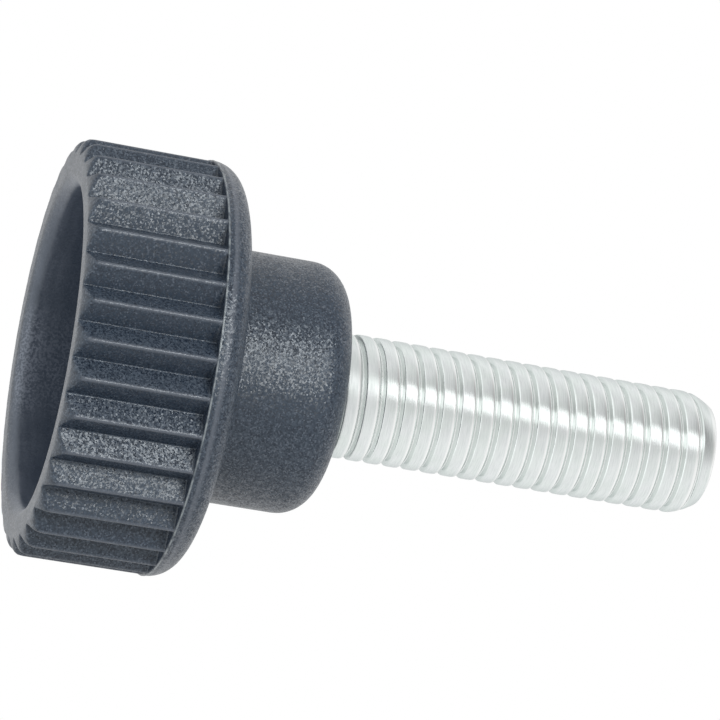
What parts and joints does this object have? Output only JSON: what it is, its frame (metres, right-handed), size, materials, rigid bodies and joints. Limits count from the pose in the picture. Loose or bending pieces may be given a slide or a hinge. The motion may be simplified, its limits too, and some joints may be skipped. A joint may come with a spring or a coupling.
{
  "type": "thumb screw",
  "caption": "Thumb screw with a ribbed, cup-shaped plastic head on a round hub and a threaded steel stud.",
  "frame": {"origin": "centre of the open rim that the head stands on", "axes": "+Z along the screw's axis, from the open rim through the hub to the tip of the stud; +X through a rib crest"},
  "size_m": [0.0264, 0.0262, 0.0433],
  "materials": {
    "knob_plastic": "fine-grained matte black moulding",
    "zinc_steel": "bright zinc plate, rolled thread"
  },
  "bodies": {
    "root": {"knob": "knob_plastic", "threaded_stud": "zinc_steel"}
  },
  "joints": []
}
